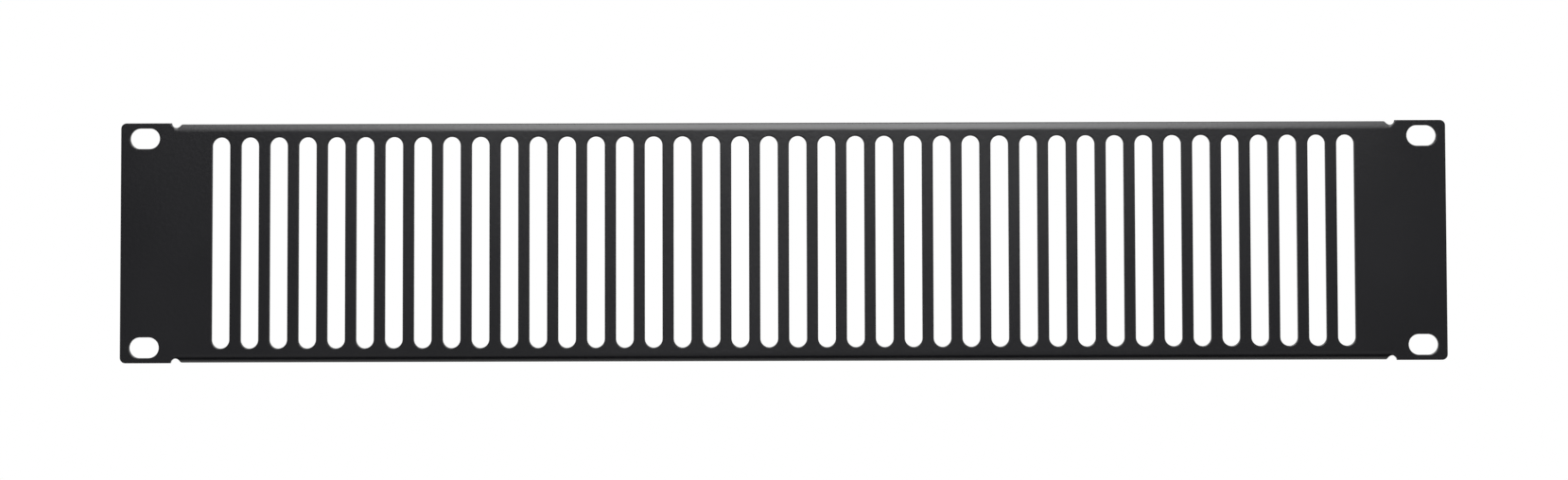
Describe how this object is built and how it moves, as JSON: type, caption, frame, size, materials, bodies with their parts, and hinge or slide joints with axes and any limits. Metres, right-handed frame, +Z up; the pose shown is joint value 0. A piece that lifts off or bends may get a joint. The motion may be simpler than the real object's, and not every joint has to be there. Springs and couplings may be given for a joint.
{
  "type": "rack blanking panel",
  "caption": "Vented rack blanking panel: folded sheet-steel plate with upright ventilation slots, obround fixing slots in its ears and flanges along its long edges.",
  "frame": {"origin": "centre of the rack fixing pattern, in the plane of the ears' rear faces, which seat on the rack's rails", "axes": "+X along the panel, to the right as seen from the front; +Y out of the back, into the rack; +Z up"},
  "size_m": [0.4826, 0.012, 0.0874],
  "materials": {
    "powder_coated_steel": "black satin powder coat"
  },
  "bodies": {
    "root": {"vented_panel": "powder_coated_steel"}
  },
  "joints": []
}
